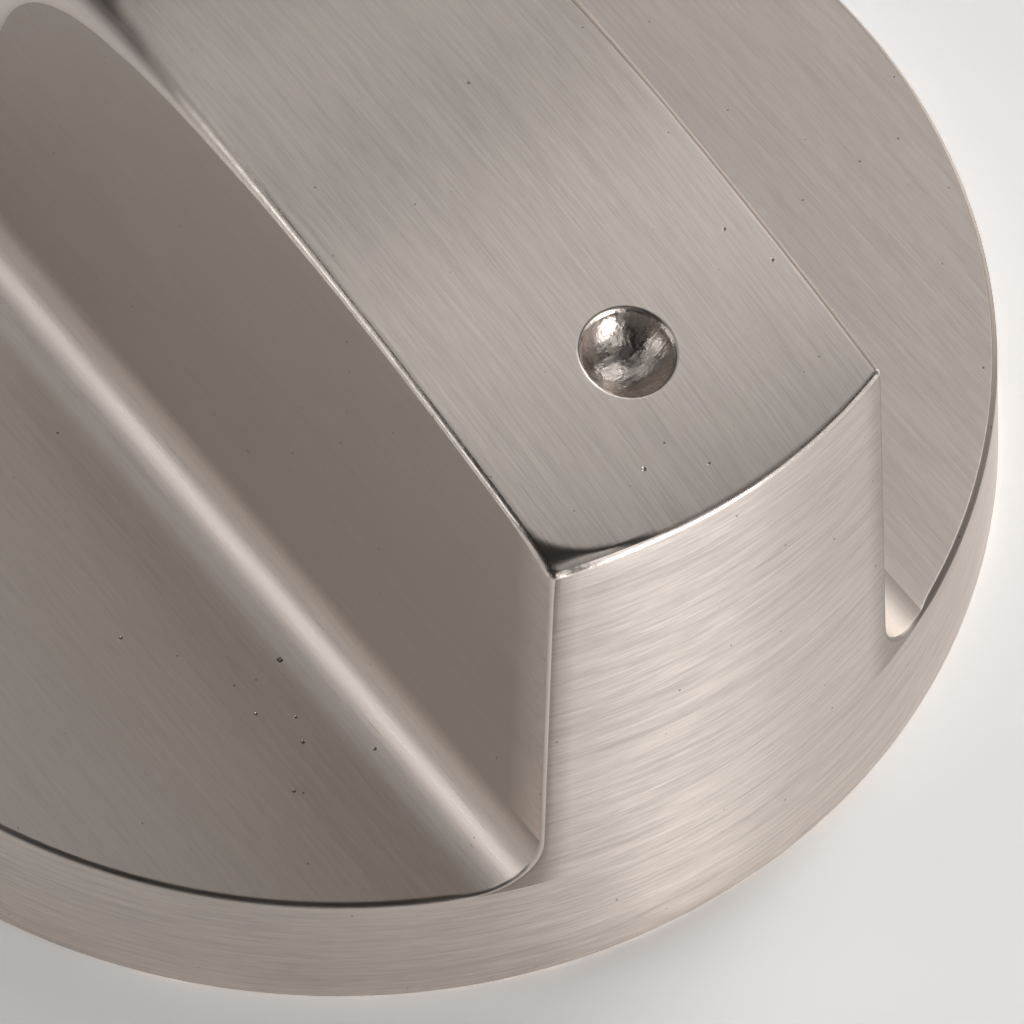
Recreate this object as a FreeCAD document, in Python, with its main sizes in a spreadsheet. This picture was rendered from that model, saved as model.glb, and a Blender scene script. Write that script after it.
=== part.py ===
import FreeCAD, Part
import math
import os
import Sketcher

# Stove knob with a full-width grip bar.
# Frame: millimetres, +Z up along the shaft axis, origin at the centre of the bottom rim,
# bar along Y, pointer end of the bar towards -Y, X across the bar.

# Driving sizes, one cell each
SIZES = {
    # outside of the casting
    "base_diameter": 40.0,
    "overall_height": 21.5,
    "skirt_draft": 4.3,
    "floor_height": 4.7,
    "bar_width": 11.4,
    "bar_draft": 2.1,
    "bar_root_radius": 2.0,
    "crown_radius": 82.0,
    "edge_radius_front": 0.2,
    "edge_radius_middle": 0.6,
    "edge_radius_crest": 0.8,
    "edge_radius_tail": 1.2,
    "tail_crest_reach": 7.1,
    "tail_crest_radius": 6.0,
    "tail_foot_reach": 14.6,
    "tail_foot_radius": 4.0,
    # pointer dimple
    "pointer_reach": 13.4,
    "pointer_diameter": 2.7,
    "pointer_depth": 0.9,
    # underside of the casting
    "skirt_wall": 1.8,
    "floor_wall": 1.6,
    "core_draft": 2.0,
    "boss_diameter": 15.0,
    "boss_recess": 1.5,
    "rib_width": 1.2,
    "rib_spread": 35.0,
    "bar_wall": 1.9,
    "core_corner_radius": 1.0,
    "nose_wall": 2.4,
    "rear_core_height": 11.8,
    # appliance shaft and its socket
    "shaft_diameter": 8.0,
    "shaft_over_flat": 6.5,
    "shaft_play": 0.05,
    # hub pressed into the boss
    "hub_wall": 0.95,
    "hub_length": 13.5,
    "hub_end_gap": 0.3,
    "hub_fit": 0.02,
    "flange_diameter": 13.4,
    "flange_thickness": 1.0,
    "key_width": 2.4,
    "key_depth": 0.9,
    "key_length": 8.0,
    # leaf spring in the flat side of the hub
    "leaf_thickness": 0.4,
    "leaf_width": 4.0,
    "leaf_side_gap": 0.2,
    "leaf_seat_gap": 0.03,
    "leaf_pinch": 0.2,
    "leaf_pocket_depth": 1.0,
    "leaf_span": 12.0,
    "leaf_bend_radius": 0.7,
    "leaf_tab_reach": 5.9,
}

# Modelling allowances
OVERCUT = 2.0       # how far a cut runs past the face that it opens
ROOT_OVERLAP = 0.5  # how far a rib reaches into the wall that carries it
EDGE_RUN = 0.3      # shortest run along Y of an edge that gets rounded

doc = FreeCAD.newDocument("stove_knob")
sheet = doc.addObject("Spreadsheet::Sheet", "Sizes")
for row, (alias, size) in enumerate(SIZES.items(), start=1):
    sheet.set("A%d" % row, alias)
    sheet.set("B%d" % row, str(size))
    sheet.setAlias("B%d" % row, alias)
doc.recompute()


def words(text):
    """Put the sheet's name before each size that an expression names."""
    for alias in sorted(SIZES, key=len, reverse=True):
        text = text.replace("@" + alias, "Sizes." + alias)
    return text


def number(text):
    """The present value of an expression on the sheet."""
    result = sheet.evalExpression(words(text))
    return float(getattr(result, "Value", result))


def origin_part(body, role):
    """A plane or an axis of the body's own origin."""
    return next(item for item in body.Origin.OriginFeatures if item.Role == role)


def new_body(name):
    body = doc.addObject("PartDesign::Body", name)
    body.Label = name
    return body


def new_sketch(body, name, plane, offset="0"):
    """A sketch on one of the body's origin planes, moved along that plane's normal."""
    sketch = body.newObject("Sketcher::SketchObject", name)
    sketch.AttachmentSupport = [(origin_part(body, plane), "")]
    sketch.MapMode = "FlatFace"
    sketch.setExpression("AttachmentOffset.Base.z", words(offset))
    doc.recompute()
    return sketch


def bind(sketch, constraint, text):
    """Add a dimension and tie it to the sheet."""
    index = sketch.addConstraint(constraint)
    sketch.setExpression("Constraints[%d]" % index, words(text))


def place_point(sketch, item, end, across, up):
    """Hold a point at coordinates given as expressions, measured from the sketch origin."""
    for kind, axis, text in (("DistanceX", -2, across), ("DistanceY", -1, up)):
        size = number(text)
        if abs(size) < 1e-9:
            sketch.addConstraint(Sketcher.Constraint("PointOnObject", item, end, axis))
        elif size > 0:
            bind(sketch, Sketcher.Constraint(kind, -1, 1, item, end, size), text)
        else:
            bind(sketch, Sketcher.Constraint(kind, item, end, -1, 1, -size), "-(%s)" % text)


def ends_near(sketch, arc, point):
    """The arc's end at a point, then its other end, as the sketch numbers them."""
    if sketch.getPoint(arc, 1).distanceToPoint(point) < sketch.getPoint(arc, 2).distanceToPoint(point):
        return 1, 2
    return 2, 1


def corner_arc(before, corner, after, radius):
    """The tangent arc that rounds a corner, with its two tangent points."""
    towards_before = (before - corner).normalize()
    towards_after = (after - corner).normalize()
    half = towards_before.getAngle(towards_after) / 2
    reach = radius / math.tan(half)
    start = corner + towards_before * reach
    end = corner + towards_after * reach
    middle = (towards_before + towards_after).normalize()
    centre = corner + middle * (radius / math.sin(half))
    return start, centre - middle * radius, end


def draw_outline(sketch, corners):
    """A closed outline: each corner is (across, up) or (across, up, corner radius)."""
    points = [FreeCAD.Vector(number(c[0]), number(c[1]), 0) for c in corners]
    count = len(points)
    starts, ends, arcs = list(points), list(points), {}
    for i, corner in enumerate(corners):
        if len(corner) == 3:
            arcs[i] = corner_arc(points[i - 1], points[i], points[(i + 1) % count], number(corner[2]))
            ends[i], starts[i] = arcs[i][0], arcs[i][2]
    sides = [sketch.addGeometry(Part.LineSegment(starts[i], ends[(i + 1) % count])) for i in range(count)]
    for i, corner in enumerate(corners):
        before, after = sides[i - 1], sides[i]
        if i not in arcs:
            sketch.addConstraint(Sketcher.Constraint("Coincident", before, 2, after, 1))
            place_point(sketch, after, 1, corner[0], corner[1])
            continue
        arc = sketch.addGeometry(Part.Arc(*arcs[i]))
        near, far = ends_near(sketch, arc, ends[i])
        sketch.addConstraint(Sketcher.Constraint("Tangent", before, 2, arc, near))
        sketch.addConstraint(Sketcher.Constraint("Tangent", after, 1, arc, far))
        bind(sketch, Sketcher.Constraint("Radius", arc, number(corner[2])), corner[2])
        apex = sketch.addGeometry(Part.Point(points[i]), True)
        place_point(sketch, apex, 1, corner[0], corner[1])
        sketch.addConstraint(Sketcher.Constraint("PointOnObject", apex, 1, before))
        sketch.addConstraint(Sketcher.Constraint("PointOnObject", apex, 1, after))


def draw_circle(sketch, diameter):
    """A circle about the sketch origin."""
    centre = FreeCAD.Vector(0, 0, 0)
    up = FreeCAD.Vector(0, 0, 1)
    circle = sketch.addGeometry(Part.Circle(centre, up, number(diameter) / 2))
    sketch.addConstraint(Sketcher.Constraint("Coincident", circle, 3, -1, 1))
    bind(sketch, Sketcher.Constraint("Diameter", circle, number(diameter)), diameter)


def extrude(body, kind, name, sketch, length=None, both_ways=False, upwards=False, draft=None):
    """A pad or a pocket; a pocket with no length runs through all."""
    feature = body.newObject("PartDesign::" + kind, name)
    feature.Profile = sketch
    if both_ways:
        feature.SideType = "Symmetric"
    if length is None:
        feature.Type = "ThroughAll"
    else:
        feature.Type = "Length"
        feature.setExpression("Length", words(length))
    if draft is not None:
        feature.setExpression("TaperAngle", words(draft))
    feature.Reversed = upwards
    doc.recompute()
    return feature


def spin(body, kind, name, sketch):
    """A full turn of a sketch about its own vertical axis."""
    feature = body.newObject("PartDesign::" + kind, name)
    feature.Profile = sketch
    feature.ReferenceAxis = (sketch, ["V_Axis"])
    feature.Angle = 360.0
    doc.recompute()
    return feature


def repeat(body, kind, name, original, **settings):
    """A mirror or a pattern of one feature, made the body's tip."""
    feature = body.newObject("PartDesign::" + kind, name)
    feature.Originals = [original]
    for key, setting in settings.items():
        setattr(feature, key, setting)
    body.Tip = feature
    doc.recompute()
    return feature


# Places worked out from the sizes
BASE_RADIUS = "@base_diameter / 2"
STOCK_TOP = "(@overall_height + %g)" % (OVERCUT / 2)
STOCK_TOP_RADIUS = "(@base_diameter / 2 - %s * tan(@skirt_draft))" % STOCK_TOP
BAR_ROOT = "(@bar_width / 2 + (@overall_height - @floor_height) * tan(@bar_draft))"
CAVITY_CEILING = "(@floor_height - @floor_wall)"
CAVITY_DIAMETER = "(@base_diameter - 2 * @skirt_wall)"
TAIL_RUN = "((@tail_foot_reach - @tail_crest_reach) / (@overall_height - @floor_height))"
TAIL_WALL_SHIFT = "(@bar_wall * sqrt(1 + %s * %s))" % (TAIL_RUN, TAIL_RUN)
SOCKET_RADIUS = "(@shaft_diameter / 2 + @shaft_play)"
SOCKET_FLAT = "(@shaft_over_flat - @shaft_diameter / 2 + @shaft_play)"
HUB_RADIUS = "(%s + @hub_wall)" % SOCKET_RADIUS
HUB_TOP = "(@boss_recess + @hub_length)"
FLANGE_FACE = "(@boss_recess - @flange_thickness)"
LEAF_SEAT = "(%s + @leaf_pocket_depth)" % SOCKET_FLAT
LEAF_POCKET_WIDTH = "(@leaf_width + 2 * @leaf_side_gap)"
BEYOND = "(@base_diameter / 2 + %g)" % OVERCUT
ABOVE = "(@overall_height + %g)" % OVERCUT


def build_bar_stock():
    """A square block that carries the bar, its upper edges still sharp."""
    body = new_body("bar_stock")
    block = new_sketch(body, "block_profile", "XY_Plane")
    draw_outline(block, [
        ("-" + BEYOND, "-" + BEYOND),
        (BEYOND, "-" + BEYOND),
        (BEYOND, BEYOND),
        ("-" + BEYOND, BEYOND),
    ])
    extrude(body, "Pad", "block", block, STOCK_TOP)

    # Scoop beside the bar: drafted wall, rounded root and flat floor
    scoop = new_sketch(body, "scoop_profile", "XZ_Plane")
    draw_outline(scoop, [
        ("-" + BAR_ROOT, "@floor_height", "@bar_root_radius"),
        ("-@bar_width / 2", "@overall_height"),
        ("-@bar_width / 2", ABOVE),
        ("-" + BEYOND, ABOVE),
        ("-" + BEYOND, "@floor_height"),
    ])
    scoop_cut = extrude(body, "Pocket", "scoop", scoop, both_ways=True)
    repeat(body, "Mirrored", "second_scoop", scoop_cut, MirrorPlane=(origin_part(body, "YZ_Plane"), [""]))
    return body


def cut_bar_top(body):
    """Top of the bar from end to end: a long crown, a rounded crest and a tail down to the floor.

    Returns where along Y the stretches of the top meet.
    """
    top = new_sketch(body, "top_profile", "YZ_Plane")
    reach = number(BEYOND)
    crown_radius, crest_radius = number("@crown_radius"), number("@tail_crest_radius")
    crown_centre = FreeCAD.Vector(0, number("@overall_height - @crown_radius"), 0)
    front = crown_centre + FreeCAD.Vector(-reach, math.sqrt(crown_radius ** 2 - reach ** 2), 0)
    crest_apex = FreeCAD.Vector(number("@tail_crest_reach"), number("@overall_height"), 0)
    foot_apex = FreeCAD.Vector(number("@tail_foot_reach"), number("@floor_height"), 0)
    floor_end = FreeCAD.Vector(reach, foot_apex.y, 0)
    lid = [floor_end, FreeCAD.Vector(reach, number(ABOVE), 0), FreeCAD.Vector(-reach, number(ABOVE), 0)]
    # The crest's centre lies one crest radius inside both the crown and the tail
    slope = (foot_apex - crest_apex).normalize()
    inwards = FreeCAD.Vector(slope.y, -slope.x, 0)
    offset = crest_apex + inwards * crest_radius - crown_centre
    along = offset.dot(slope)
    shift = -along - math.sqrt(along ** 2 - offset.dot(offset) + (crown_radius - crest_radius) ** 2)
    crest_centre = crown_centre + offset + slope * shift
    crown_end = crown_centre + (crest_centre - crown_centre).normalize() * crown_radius
    crest_end = crest_centre - inwards * crest_radius
    crest_way = ((crown_end - crest_centre) + (crest_end - crest_centre)).normalize()
    crown_top = FreeCAD.Vector(0, number("@overall_height"), 0)
    foot_radius = number("@tail_foot_radius")
    foot_start, foot_middle, foot_end = corner_arc(crest_apex, foot_apex, floor_end, foot_radius)

    crown = top.addGeometry(Part.Arc(front, crown_top, crown_end))
    crest = top.addGeometry(Part.Arc(crown_end, crest_centre + crest_way * crest_radius, crest_end))
    tail = top.addGeometry(Part.LineSegment(crest_end, foot_start))
    foot = top.addGeometry(Part.Arc(foot_start, foot_middle, foot_end))
    ground = top.addGeometry(Part.LineSegment(foot_end, floor_end))
    sides = [top.addGeometry(Part.LineSegment(*ends)) for ends in zip(lid, lid[1:] + [front])]
    crown_back, crown_front = ends_near(top, crown, crown_end)
    crest_front, crest_back = ends_near(top, crest, crown_end)
    foot_high, foot_low = ends_near(top, foot, foot_start)
    top.addConstraint(Sketcher.Constraint("Tangent", crown, crown_back, crest, crest_front))
    top.addConstraint(Sketcher.Constraint("Tangent", crest, crest_back, tail, 1))
    top.addConstraint(Sketcher.Constraint("Tangent", tail, 2, foot, foot_high))
    top.addConstraint(Sketcher.Constraint("Tangent", foot, foot_low, ground, 1))
    top.addConstraint(Sketcher.Constraint("Coincident", ground, 2, sides[0], 1))
    top.addConstraint(Sketcher.Constraint("Coincident", sides[0], 2, sides[1], 1))
    top.addConstraint(Sketcher.Constraint("Coincident", sides[1], 2, sides[2], 1))
    top.addConstraint(Sketcher.Constraint("Coincident", sides[2], 2, crown, crown_front))
    top.addConstraint(Sketcher.Constraint("PointOnObject", crown, 3, -2))
    top.addConstraint(Sketcher.Constraint("Vertical", sides[2]))
    place_point(top, sides[0], 1, BEYOND, "@floor_height")
    place_point(top, sides[1], 1, BEYOND, ABOVE)
    place_point(top, sides[2], 1, "-" + BEYOND, ABOVE)
    bind(top, Sketcher.Constraint("Radius", crown, crown_radius), "@crown_radius")
    bind(top, Sketcher.Constraint("Radius", crest, crest_radius), "@tail_crest_radius")
    bind(top, Sketcher.Constraint("Radius", foot, foot_radius), "@tail_foot_radius")
    drop = "@crown_radius - @overall_height"
    bind(top, Sketcher.Constraint("DistanceY", crown, 3, -1, 1, number(drop)), drop)
    for apex, across, up in (
        (crest_apex, "@tail_crest_reach", "@overall_height"),
        (foot_apex, "@tail_foot_reach", "@floor_height"),
    ):
        mark = top.addGeometry(Part.Point(apex), True)
        place_point(top, mark, 1, across, up)
        top.addConstraint(Sketcher.Constraint("PointOnObject", mark, 1, tail))
    extrude(body, "Pocket", "bar_top", top, both_ways=True)
    return -reach, 0.0, crown_end.x, crest_end.x, foot_start.x


def soften_bar_edges(stock, joints):
    """Round the bar's two upper edges, hardly at the front and fully along the tail."""
    radii = [number("@edge_radius_" + place) for place in ("front", "middle", "crest", "tail", "tail")]
    root = number("@floor_height + @bar_root_radius")
    widest = number(BAR_ROOT)
    edges = []
    for index, edge in enumerate(stock.Shape.Edges, start=1):
        ends = [edge.valueAt(edge.FirstParameter), edge.valueAt(edge.LastParameter)]
        if any(end.z < root or abs(end.x) > widest for end in ends) or abs(ends[0].y - ends[1].y) < EDGE_RUN:
            continue
        nearest = [min(range(len(joints)), key=lambda i: abs(joints[i] - end.y)) for end in ends]
        edges.append((index, radii[nearest[0]], radii[nearest[1]]))
    softened = doc.addObject("Part::Fillet", "softened_stock")
    softened.Base = stock
    softened.Edges = edges
    doc.recompute()
    return softened


def build_knob_body(softened):
    """One die casting: drafted skirt, grip bar, pointer dimple, cored underside with boss and ribs."""
    body = new_body("knob_body")
    body.BaseFeature = softened
    doc.recompute()

    # Drafted round wall turned out of the block, through skirt and bar ends alike
    wall = new_sketch(body, "wall_profile", "XZ_Plane")
    draw_outline(wall, [
        (BASE_RADIUS, "0"),
        ("@base_diameter", "0"),
        ("@base_diameter", STOCK_TOP),
        (STOCK_TOP_RADIUS, STOCK_TOP),
    ])
    spin(body, "Groove", "wall", wall)

    # Shallow round cavity inside the skirt, around the boss
    cavity = new_sketch(body, "cavity_profile", "XY_Plane")
    draw_circle(cavity, CAVITY_DIAMETER)
    draw_circle(cavity, "@boss_diameter")
    extrude(body, "Pocket", "cavity", cavity, CAVITY_CEILING, upwards=True, draft="-@core_draft")

    # Ribs across the cavity, flush with the boss
    rib = new_sketch(body, "rib_profile", "XY_Plane", "@boss_recess")
    rib_reach = "(%s / 2 + %g)" % (CAVITY_DIAMETER, ROOT_OVERLAP)
    draw_outline(rib, [
        ("-" + rib_reach, "-@rib_width / 2"),
        (rib_reach, "-@rib_width / 2"),
        (rib_reach, "@rib_width / 2"),
        ("-" + rib_reach, "@rib_width / 2"),
    ])
    rib_height = "%s - @boss_recess + %g" % (CAVITY_CEILING, ROOT_OVERLAP)
    rib_pad = extrude(body, "Pad", "rib", rib, rib_height)
    turn = (origin_part(body, "Z_Axis"), [""])
    for name, backwards in (("ribs_one_way", False), ("ribs_other_way", True)):
        pattern = repeat(body, "PolarPattern", name, rib_pad, Axis=turn, Occurrences=2, Reversed=backwards)
        pattern.setExpression("Angle", words("@rib_spread"))
        doc.recompute()

    # The boss stands back from the rim, for the hub's flange
    relief = new_sketch(body, "boss_relief_profile", "XY_Plane")
    draw_circle(relief, "@boss_diameter + %g" % ROOT_OVERLAP)
    extrude(body, "Pocket", "boss_relief", relief, "@boss_recess", upwards=True)

    # Cores inside the bar, either side of the boss
    boss_side = "(@boss_diameter / 2 + @core_corner_radius)"
    nose_reach = "(%s - @floor_height * tan(@skirt_draft) - @nose_wall)" % BASE_RADIUS
    front = new_sketch(body, "front_core_profile", "YZ_Plane")
    nose_top = "(@overall_height - @bar_wall - %s * %s / (2 * @crown_radius))" % (nose_reach, nose_reach)
    draw_outline(front, [
        ("-" + nose_reach, "-%g" % OVERCUT),
        ("-" + boss_side, "-%g" % OVERCUT),
        ("-" + boss_side, nose_top, "@core_corner_radius"),
        ("-(%s - %s * tan(@skirt_draft))" % (nose_reach, nose_top), nose_top, "@core_corner_radius"),
    ])
    core_width = "@bar_width - 2 * @bar_wall"
    extrude(body, "Pocket", "front_core", front, core_width, both_ways=True)
    rear = new_sketch(body, "rear_core_profile", "YZ_Plane")
    rear_top = "(@tail_crest_reach + (@overall_height - @rear_core_height) * %s - %s)"
    rear_foot = "(@tail_foot_reach - %s)" % TAIL_WALL_SHIFT
    draw_outline(rear, [
        (boss_side, "-%g" % OVERCUT),
        (rear_foot, "-%g" % OVERCUT),
        (rear_foot, "@floor_height"),
        (rear_top % (TAIL_RUN, TAIL_WALL_SHIFT), "@rear_core_height"),
        (boss_side, "@rear_core_height"),
    ])
    extrude(body, "Pocket", "rear_core", rear, core_width, both_ways=True)

    # Bore and keyway for the hub
    bore = new_sketch(body, "bore_profile", "XY_Plane")
    draw_circle(bore, "2 * (%s + @hub_fit)" % HUB_RADIUS)
    extrude(body, "Pocket", "bore", bore, "%s + @hub_end_gap" % HUB_TOP, upwards=True)
    keyway = new_sketch(body, "keyway_profile", "XY_Plane")
    half_key = "(@key_width / 2 + @hub_fit)"
    key_reach = "(%s + @key_depth + @hub_fit)" % HUB_RADIUS
    draw_outline(keyway, [
        ("-" + half_key, "-" + key_reach),
        (half_key, "-" + key_reach),
        (half_key, "-" + SOCKET_RADIUS),
        ("-" + half_key, "-" + SOCKET_RADIUS),
    ])
    key_top = "@boss_recess + @key_length + @hub_end_gap"
    extrude(body, "Pocket", "keyway", keyway, key_top, upwards=True)

    # Pointer dimple, a ball's print square to the crowned top
    ball = "(@pointer_diameter * @pointer_diameter / (8 * @pointer_depth) + @pointer_depth / 2)"
    dimple = body.newObject("PartDesign::SubtractiveSphere", "pointer")
    stand_off = "(@crown_radius + %s - @pointer_depth)" % ball
    lean = "asin(@pointer_reach / @crown_radius)"
    dimple.setExpression("Radius", words(ball))
    dimple.setExpression("Placement.Base.y", words("-%s * sin(%s)" % (stand_off, lean)))
    dimple.setExpression(
        "Placement.Base.z",
        words("@overall_height - @crown_radius + %s * cos(%s)" % (stand_off, lean)),
    )
    doc.recompute()

    return body


def build_shaft_hub():
    """Moulded sleeve with a D-shaped socket, a flange under the boss and a key in its keyway."""
    body = new_body("shaft_hub")
    profile = new_sketch(body, "hub_profile", "XZ_Plane")
    draw_outline(profile, [
        ("0", FLANGE_FACE),
        ("@flange_diameter / 2", FLANGE_FACE),
        ("@flange_diameter / 2", "@boss_recess"),
        (HUB_RADIUS, "@boss_recess"),
        (HUB_RADIUS, HUB_TOP),
        ("0", HUB_TOP),
    ])
    spin(body, "Revolution", "sleeve", profile)

    key = new_sketch(body, "key_profile", "XY_Plane", "@boss_recess")
    draw_outline(key, [
        ("-@key_width / 2", "-(%s + @key_depth)" % HUB_RADIUS),
        ("@key_width / 2", "-(%s + @key_depth)" % HUB_RADIUS),
        ("@key_width / 2", "-" + SOCKET_RADIUS),
        ("-@key_width / 2", "-" + SOCKET_RADIUS),
    ])
    extrude(body, "Pad", "key", key, "@key_length")

    # D-shaped socket right through
    socket = new_sketch(body, "socket_profile", "XY_Plane")
    radius = number(SOCKET_RADIUS)
    flat = number(SOCKET_FLAT)
    half_chord = math.sqrt(radius ** 2 - flat ** 2)
    right = FreeCAD.Vector(half_chord, flat, 0)
    left = FreeCAD.Vector(-half_chord, flat, 0)
    arc = socket.addGeometry(Part.Arc(left, FreeCAD.Vector(0, -radius, 0), right))
    chord = socket.addGeometry(Part.LineSegment(right, left))
    near, far = ends_near(socket, arc, right)
    socket.addConstraint(Sketcher.Constraint("Coincident", arc, near, chord, 1))
    socket.addConstraint(Sketcher.Constraint("Coincident", arc, far, chord, 2))
    socket.addConstraint(Sketcher.Constraint("Coincident", arc, 3, -1, 1))
    socket.addConstraint(Sketcher.Constraint("Horizontal", chord))
    bind(socket, Sketcher.Constraint("Radius", arc, radius), SOCKET_RADIUS)
    bind(socket, Sketcher.Constraint("DistanceY", -1, 1, chord, 1, flat), SOCKET_FLAT)
    extrude(body, "Pocket", "socket", socket, both_ways=True)

    # Pocket for the leaf spring in the flat side, and a notch under the flange for its tab
    pocket = new_sketch(body, "leaf_pocket_profile", "XY_Plane")
    draw_outline(pocket, [
        ("-%s / 2" % LEAF_POCKET_WIDTH, "0"),
        ("%s / 2" % LEAF_POCKET_WIDTH, "0"),
        ("%s / 2" % LEAF_POCKET_WIDTH, LEAF_SEAT),
        ("-%s / 2" % LEAF_POCKET_WIDTH, LEAF_SEAT),
    ])
    extrude(body, "Pocket", "leaf_pocket", pocket, both_ways=True)
    notch = new_sketch(body, "tab_notch_profile", "YZ_Plane")
    tab_top = "(%s + @leaf_thickness + 2 * @leaf_seat_gap)" % FLANGE_FACE
    draw_outline(notch, [
        ("0", "0"),
        ("@leaf_tab_reach + @leaf_side_gap", "0"),
        ("@leaf_tab_reach + @leaf_side_gap", tab_top),
        (LEAF_SEAT, tab_top, "@leaf_bend_radius - @leaf_thickness / 2 - @leaf_seat_gap"),
        (LEAF_SEAT, "%s + @leaf_bend_radius" % tab_top),
        ("0", "%s + @leaf_bend_radius" % tab_top),
    ])
    extrude(body, "Pocket", "tab_notch", notch, LEAF_POCKET_WIDTH, both_ways=True)
    return body


def build_leaf_spring():
    """Spring-steel strip: a tab under the flange, a bend, and a bow that presses on the shaft's flat."""
    body = new_body("leaf_spring")
    seat_text = "(%s - @leaf_seat_gap - @leaf_thickness / 2)" % LEAF_SEAT
    belly_text = "(%s - @leaf_pinch + @leaf_thickness / 2)" % SOCKET_FLAT
    tab_text = "(%s + @leaf_seat_gap + @leaf_thickness / 2)" % FLANGE_FACE
    tip_text = "(%s + @leaf_bend_radius + @leaf_span)" % tab_text
    middle_text = "(%s + @leaf_bend_radius + @leaf_span / 2)" % tab_text
    seat, belly = number(seat_text), number(belly_text)
    tab_height, middle = number(tab_text), number(middle_text)
    bend = number("@leaf_bend_radius")

    # Bow: an arc through the seat line at both ends of its span and the belly between them
    half_span, rise = number("@leaf_span / 2"), seat - belly
    bow = (half_span ** 2 + rise ** 2) / (2 * rise)
    bow_centre = FreeCAD.Vector(belly + bow, middle, 0)
    # Bend: tangent to the level tab and to the bow from inside
    bend_height = tab_height + bend
    bend_across = bow_centre.x - math.sqrt((bow - bend) ** 2 - (middle - bend_height) ** 2)
    bend_centre = FreeCAD.Vector(bend_across, bend_height, 0)
    tab_end = FreeCAD.Vector(bend_across, tab_height, 0)
    join = bow_centre + (bend_centre - bow_centre).normalize() * bow
    turning = ((tab_end - bend_centre) + (join - bend_centre)).normalize()

    path = new_sketch(body, "leaf_path", "YZ_Plane")
    tab_start = FreeCAD.Vector(number("@leaf_tab_reach"), tab_height, 0)
    tab = path.addGeometry(Part.LineSegment(tab_start, tab_end))
    corner = path.addGeometry(Part.Arc(tab_end, bend_centre + turning * bend, join))
    tip = FreeCAD.Vector(seat, number(tip_text), 0)
    arc = path.addGeometry(Part.Arc(join, FreeCAD.Vector(belly, middle, 0), tip))
    tab_side, bow_side = ends_near(path, corner, tab_end)
    join_side, tip_side = ends_near(path, arc, join)
    path.addConstraint(Sketcher.Constraint("Tangent", tab, 2, corner, tab_side))
    path.addConstraint(Sketcher.Constraint("Tangent", corner, bow_side, arc, join_side))
    path.addConstraint(Sketcher.Constraint("Horizontal", tab))
    place_point(path, tab, 1, "@leaf_tab_reach", tab_text)
    place_point(path, arc, tip_side, seat_text, tip_text)
    bind(path, Sketcher.Constraint("DistanceY", -1, 1, arc, 3, middle), middle_text)
    bind(path, Sketcher.Constraint("Radius", corner, bend), "@leaf_bend_radius")
    rise_text = "(%s - %s)" % (seat_text, belly_text)
    bow_text = "((@leaf_span * @leaf_span / 4 + %s * %s) / (2 * %s))" % (rise_text, rise_text, rise_text)
    bind(path, Sketcher.Constraint("Radius", arc, bow), bow_text)

    section = new_sketch(body, "leaf_section", "XZ_Plane", "-@leaf_tab_reach")
    draw_outline(section, [
        ("-@leaf_width / 2", "%s - @leaf_thickness / 2" % tab_text),
        ("@leaf_width / 2", "%s - @leaf_thickness / 2" % tab_text),
        ("@leaf_width / 2", "%s + @leaf_thickness / 2" % tab_text),
        ("-@leaf_width / 2", "%s + @leaf_thickness / 2" % tab_text),
    ])
    leaf = body.newObject("PartDesign::AdditivePipe", "leaf")
    leaf.Profile = section
    leaf.Spine = path
    doc.recompute()
    return body


bar_stock = build_bar_stock()
top_joints = cut_bar_top(bar_stock)
knob_body = build_knob_body(soften_bar_edges(bar_stock, top_joints))
pieces = [knob_body, build_shaft_hub(), build_leaf_spring()]
doc.recompute()

# Every object has to be sound before anything is written
for item in doc.Objects:
    if "Invalid" in item.State or "Error" in item.State:
        raise RuntimeError("%s failed: %s" % (item.Name, item.State))
for piece in pieces:
    if piece.Shape.isNull() or not piece.Shape.isValid():
        raise RuntimeError("%s has no valid shape" % piece.Label)

os.makedirs("parts", exist_ok=True)
for piece in pieces:
    piece.Shape.exportStep("parts/%s.step" % piece.Label)
    print(piece.Label, "volume %.2f mm3" % piece.Shape.Volume, "solids", len(piece.Shape.Solids))
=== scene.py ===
import math

import bmesh
import bpy
from mathutils import Matrix, Vector


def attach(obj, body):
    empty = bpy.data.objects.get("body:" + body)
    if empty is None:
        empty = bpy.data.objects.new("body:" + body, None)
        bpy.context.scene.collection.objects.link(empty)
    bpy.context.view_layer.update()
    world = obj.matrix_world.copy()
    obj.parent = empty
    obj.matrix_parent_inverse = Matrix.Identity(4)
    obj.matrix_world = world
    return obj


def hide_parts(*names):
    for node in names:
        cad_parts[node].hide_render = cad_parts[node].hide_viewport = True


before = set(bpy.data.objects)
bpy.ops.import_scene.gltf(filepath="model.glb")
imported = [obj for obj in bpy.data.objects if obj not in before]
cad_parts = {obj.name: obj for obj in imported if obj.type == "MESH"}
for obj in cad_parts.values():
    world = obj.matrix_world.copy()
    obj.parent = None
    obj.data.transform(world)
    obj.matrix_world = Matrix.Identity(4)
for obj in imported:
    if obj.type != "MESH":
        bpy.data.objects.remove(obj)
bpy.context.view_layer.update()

MM = 0.001

# Outside of the casting, in millimetres
RIM_RADIUS = 20.0
HEIGHT = 21.5
FLOOR = 4.7
SKIRT_SLOPE = math.tan(math.radians(4.3))
BAR_HALF = 5.7
BAR_DRAFT = math.radians(2.1)
ROOT_RADIUS = 2.0
CROWN_RADIUS = 82.0
CREST_APEX = 7.1
CREST_RADIUS = 6.0
FOOT_APEX = 14.6
FOOT_RADIUS = 4.0

# Rounding of the bar's upper edges along the bar: (y, radius)
EDGE_LAW = (
    (-20.0, 0.19), (-7.5, 0.19), (-4.0, 0.26), (-1.4, 0.42), (0.4, 0.54), (2.2, 0.77), (3.2, 1.0),
    (4.4, 1.2), (6.0, 1.32), (14.0, 1.3), (20.0, 1.0),
)

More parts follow.
